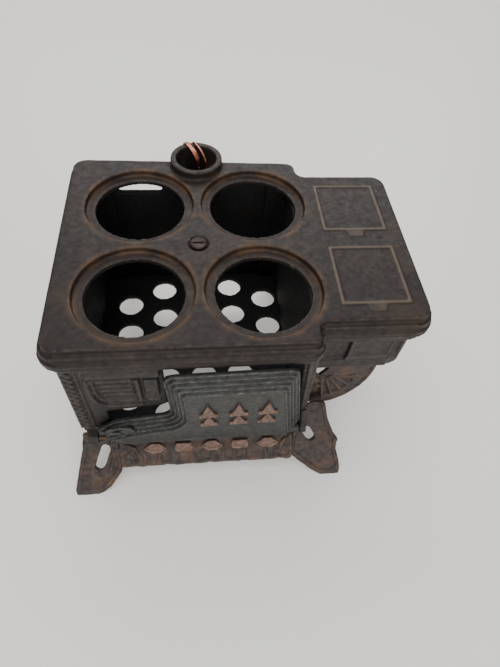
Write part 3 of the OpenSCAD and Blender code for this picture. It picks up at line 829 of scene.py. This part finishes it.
def makeWalls():
    o = plainSizes
    grain = o["wallSkin"]
    makePlain("left_wall", "leftWall", lambda centre: centre.x > floorLow.x + 1.6,
              [frameOf("x", floorLow.x + 0.9, o["sideFrame"])], grain, 0.15, 5.0)
    makePlain("right_wall", "rightWall", lambda centre: centre.x < floorHigh.x - 0.8, [], grain, 0.15, 5.0)
    parts = [frameOf("y", o["backOut"], o["backFrame"])]
    parts += [addBar((x0, 40, o["tabLow"]), (x1, 42, o["tabHigh"])) for x0, x1 in o["tabs"]]
    makePlain("back_wall", "backWall", lambda centre: centre.y < o["backInside"], parts, grain, 0.15, 5.0)
    makePlain("base_floor", "ashFloor", lambda centre: centre.z > floorLow.z + 0.6, [], o["floorSkin"],
              0.1, 3.0)


makeWalls()


# fastenings and the copper strips
screwSizes = {"domeZ": 79.7, "domeRadius": 2.7, "domeFlat": 0.2, "slotLong": 1.7, "slotWide": 0.35,
              "slotLow": 79.6, "slotHigh": 81.5, "skin": 0.22, "nutEdge": 0.3}


def makeScrew():
    o = screwSizes
    screw = castCopy("clamp_screw", "clampScrew")
    dome = addBall((screwX, 0, o["domeZ"]), o["domeRadius"], (1, 1, o["domeFlat"]))
    slot = addBar((screwX - o["slotLong"], -o["slotWide"], o["slotLow"]),
                  (screwX + o["slotLong"], o["slotWide"], o["slotHigh"]))
    screw = fuse(screw, [dome], o["skin"], 1, "clampScrew")
    screw = cutAway(screw, slot)
    dress(screw, "clamp_screw", "stove", screwIron)
    nut = castCopy("clamp_nut", "clampNut")
    pick(nut)
    applyModifier(nut, "BEVEL", width=o["nutEdge"] * mm, segments=2, limit_method="ANGLE")
    dress(nut, "clamp_nut", "stove", screwIron)
    pin = castCopy("hinge_pin", "hingePin")
    dress(pin, "hinge_pin", "stove", screwIron)


makeScrew()


def addRibbon(points, across, thick):
    # a strip of sheet through points in mm, drawn out edge by edge
    deselectAll()
    bpy.ops.mesh.primitive_plane_add(size=1)
    ribbon = bpy.context.object
    side = Vector(across)
    ends = [Vector(points[0]) - side, Vector(points[0]) + side, Vector(points[1]) - side,
            Vector(points[1]) + side]
    for v, place in zip(ribbon.data.vertices, ends):
        v.co = place * mm
    for part in (ribbon.data.polygons, ribbon.data.edges, ribbon.data.vertices):
        for piece in part:
            piece.select = False
    for v in list(ribbon.data.vertices)[2:]:
        v.select = True
    for edge in ribbon.data.edges:
        edge.select = set(edge.vertices) == {2, 3}
    bpy.ops.object.mode_set(mode="EDIT")
    bpy.ops.mesh.select_mode(type="EDGE")
    for before, after in zip(points[1:], points[2:]):
        move = (Vector(after) - Vector(before)) * mm
        bpy.ops.mesh.extrude_region_move(TRANSFORM_OT_translate={"value": tuple(move)})
    bpy.ops.mesh.select_mode(type="VERT")
    bpy.ops.mesh.select_all(action="SELECT")
    bpy.ops.mesh.normals_make_consistent(inside=False)
    bpy.ops.object.mode_set(mode="OBJECT")
    pick(ribbon)
    applyModifier(ribbon, "SOLIDIFY", thickness=thick * mm, offset=0)
    applyModifier(ribbon, "SUBSURF", levels=2, render_levels=2)
    bpy.ops.object.shade_smooth()
    return ribbon


stripSizes = {"thick": 0.35,
              "wide": [(-17.3, 56.2, 81.0), (-17.2, 56.2, 83.4), (-16.3, 54.4, 84.2), (-14.3, 50.2, 84.4),
                       (-12.6, 47.4, 83.3), (-11.7, 46.6, 80.6), (-11.3, 46.8, 77.4)],
              "wideAcross": (0.85, 0.5, 0),
              "thin": [(-14.2, 56.6, 81.6), (-13.9, 56.4, 83.6), (-13.0, 54.2, 84.3), (-11.2, 50.4, 84.4),
                       (-9.6, 47.4, 83.3), (-8.5, 45.8, 80.8), (-8.0, 45.2, 77.8)],
              "thinAcross": (0.34, 0.2, 0)}


def makeStrip(node, name, points, across):
    strip = addRibbon(points, across, stripSizes["thick"])
    strip.name = name
    dress(strip, node, "stove", copper)


makeStrip("flue_strip_wide", "flueStripWide", stripSizes["wide"], stripSizes["wideAcross"])
makeStrip("flue_strip_thin", "flueStripThin", stripSizes["thin"], stripSizes["thinAcross"])

print("stage 3: all pieces made")

# floor and light
def paleFloor():
    material, tree, place = startMaterial("plain pale floor")
    shader = addNode(tree, "ShaderNodeBsdfPrincipled", Base_Color=linearColour("#d8d5cf"), Roughness=0.35,
                     Emission_Color=linearColour("#e8e5df"), Emission_Strength=0.35)
    addNode(tree, "ShaderNodeOutputMaterial", Surface=(shader, 0))
    return material


deselectAll()
bpy.ops.mesh.primitive_plane_add(size=6, location=(0, 0, 0))
floor = bpy.context.object
floor.name = "paleFloor"
floor.data.materials.append(paleFloor())

world = bpy.data.worlds.new("softRoom")
world.use_nodes = True
world.node_tree.nodes["Background"].inputs[0].default_value = linearColour("#e4e6e8")
world.node_tree.nodes["Background"].inputs[1].default_value = 0.55
bpy.context.scene.world = world


def addLamp(name, place, aim, size, power):
    lampData = bpy.data.lights.new(name, "AREA")
    lampData.shape = "RECTANGLE"
    lampData.size = size[0]
    lampData.size_y = size[1]
    lampData.energy = power
    lamp = bpy.data.objects.new(name, lampData)
    bpy.context.scene.collection.objects.link(lamp)
    away = Vector(place) - Vector(aim)
    turned = away.to_track_quat("Z", "Y").to_matrix().to_4x4()
    lamp.matrix_world = Matrix.Translation(Vector(place)) @ turned


addLamp("windowBehind", (0.1, 0.9, 0.8), (0, 0, 0.05), (1.2, 0.8), 9)
addLamp("ceilingSoft", (-0.2, -0.1, 1.1), (0, 0, 0.05), (1.0, 1.0), 7)
addLamp("roomFront", (0.1, -1.0, 0.45), (0, 0, 0.04), (0.9, 0.6), 6.5)

print("stage 4: light and floor")
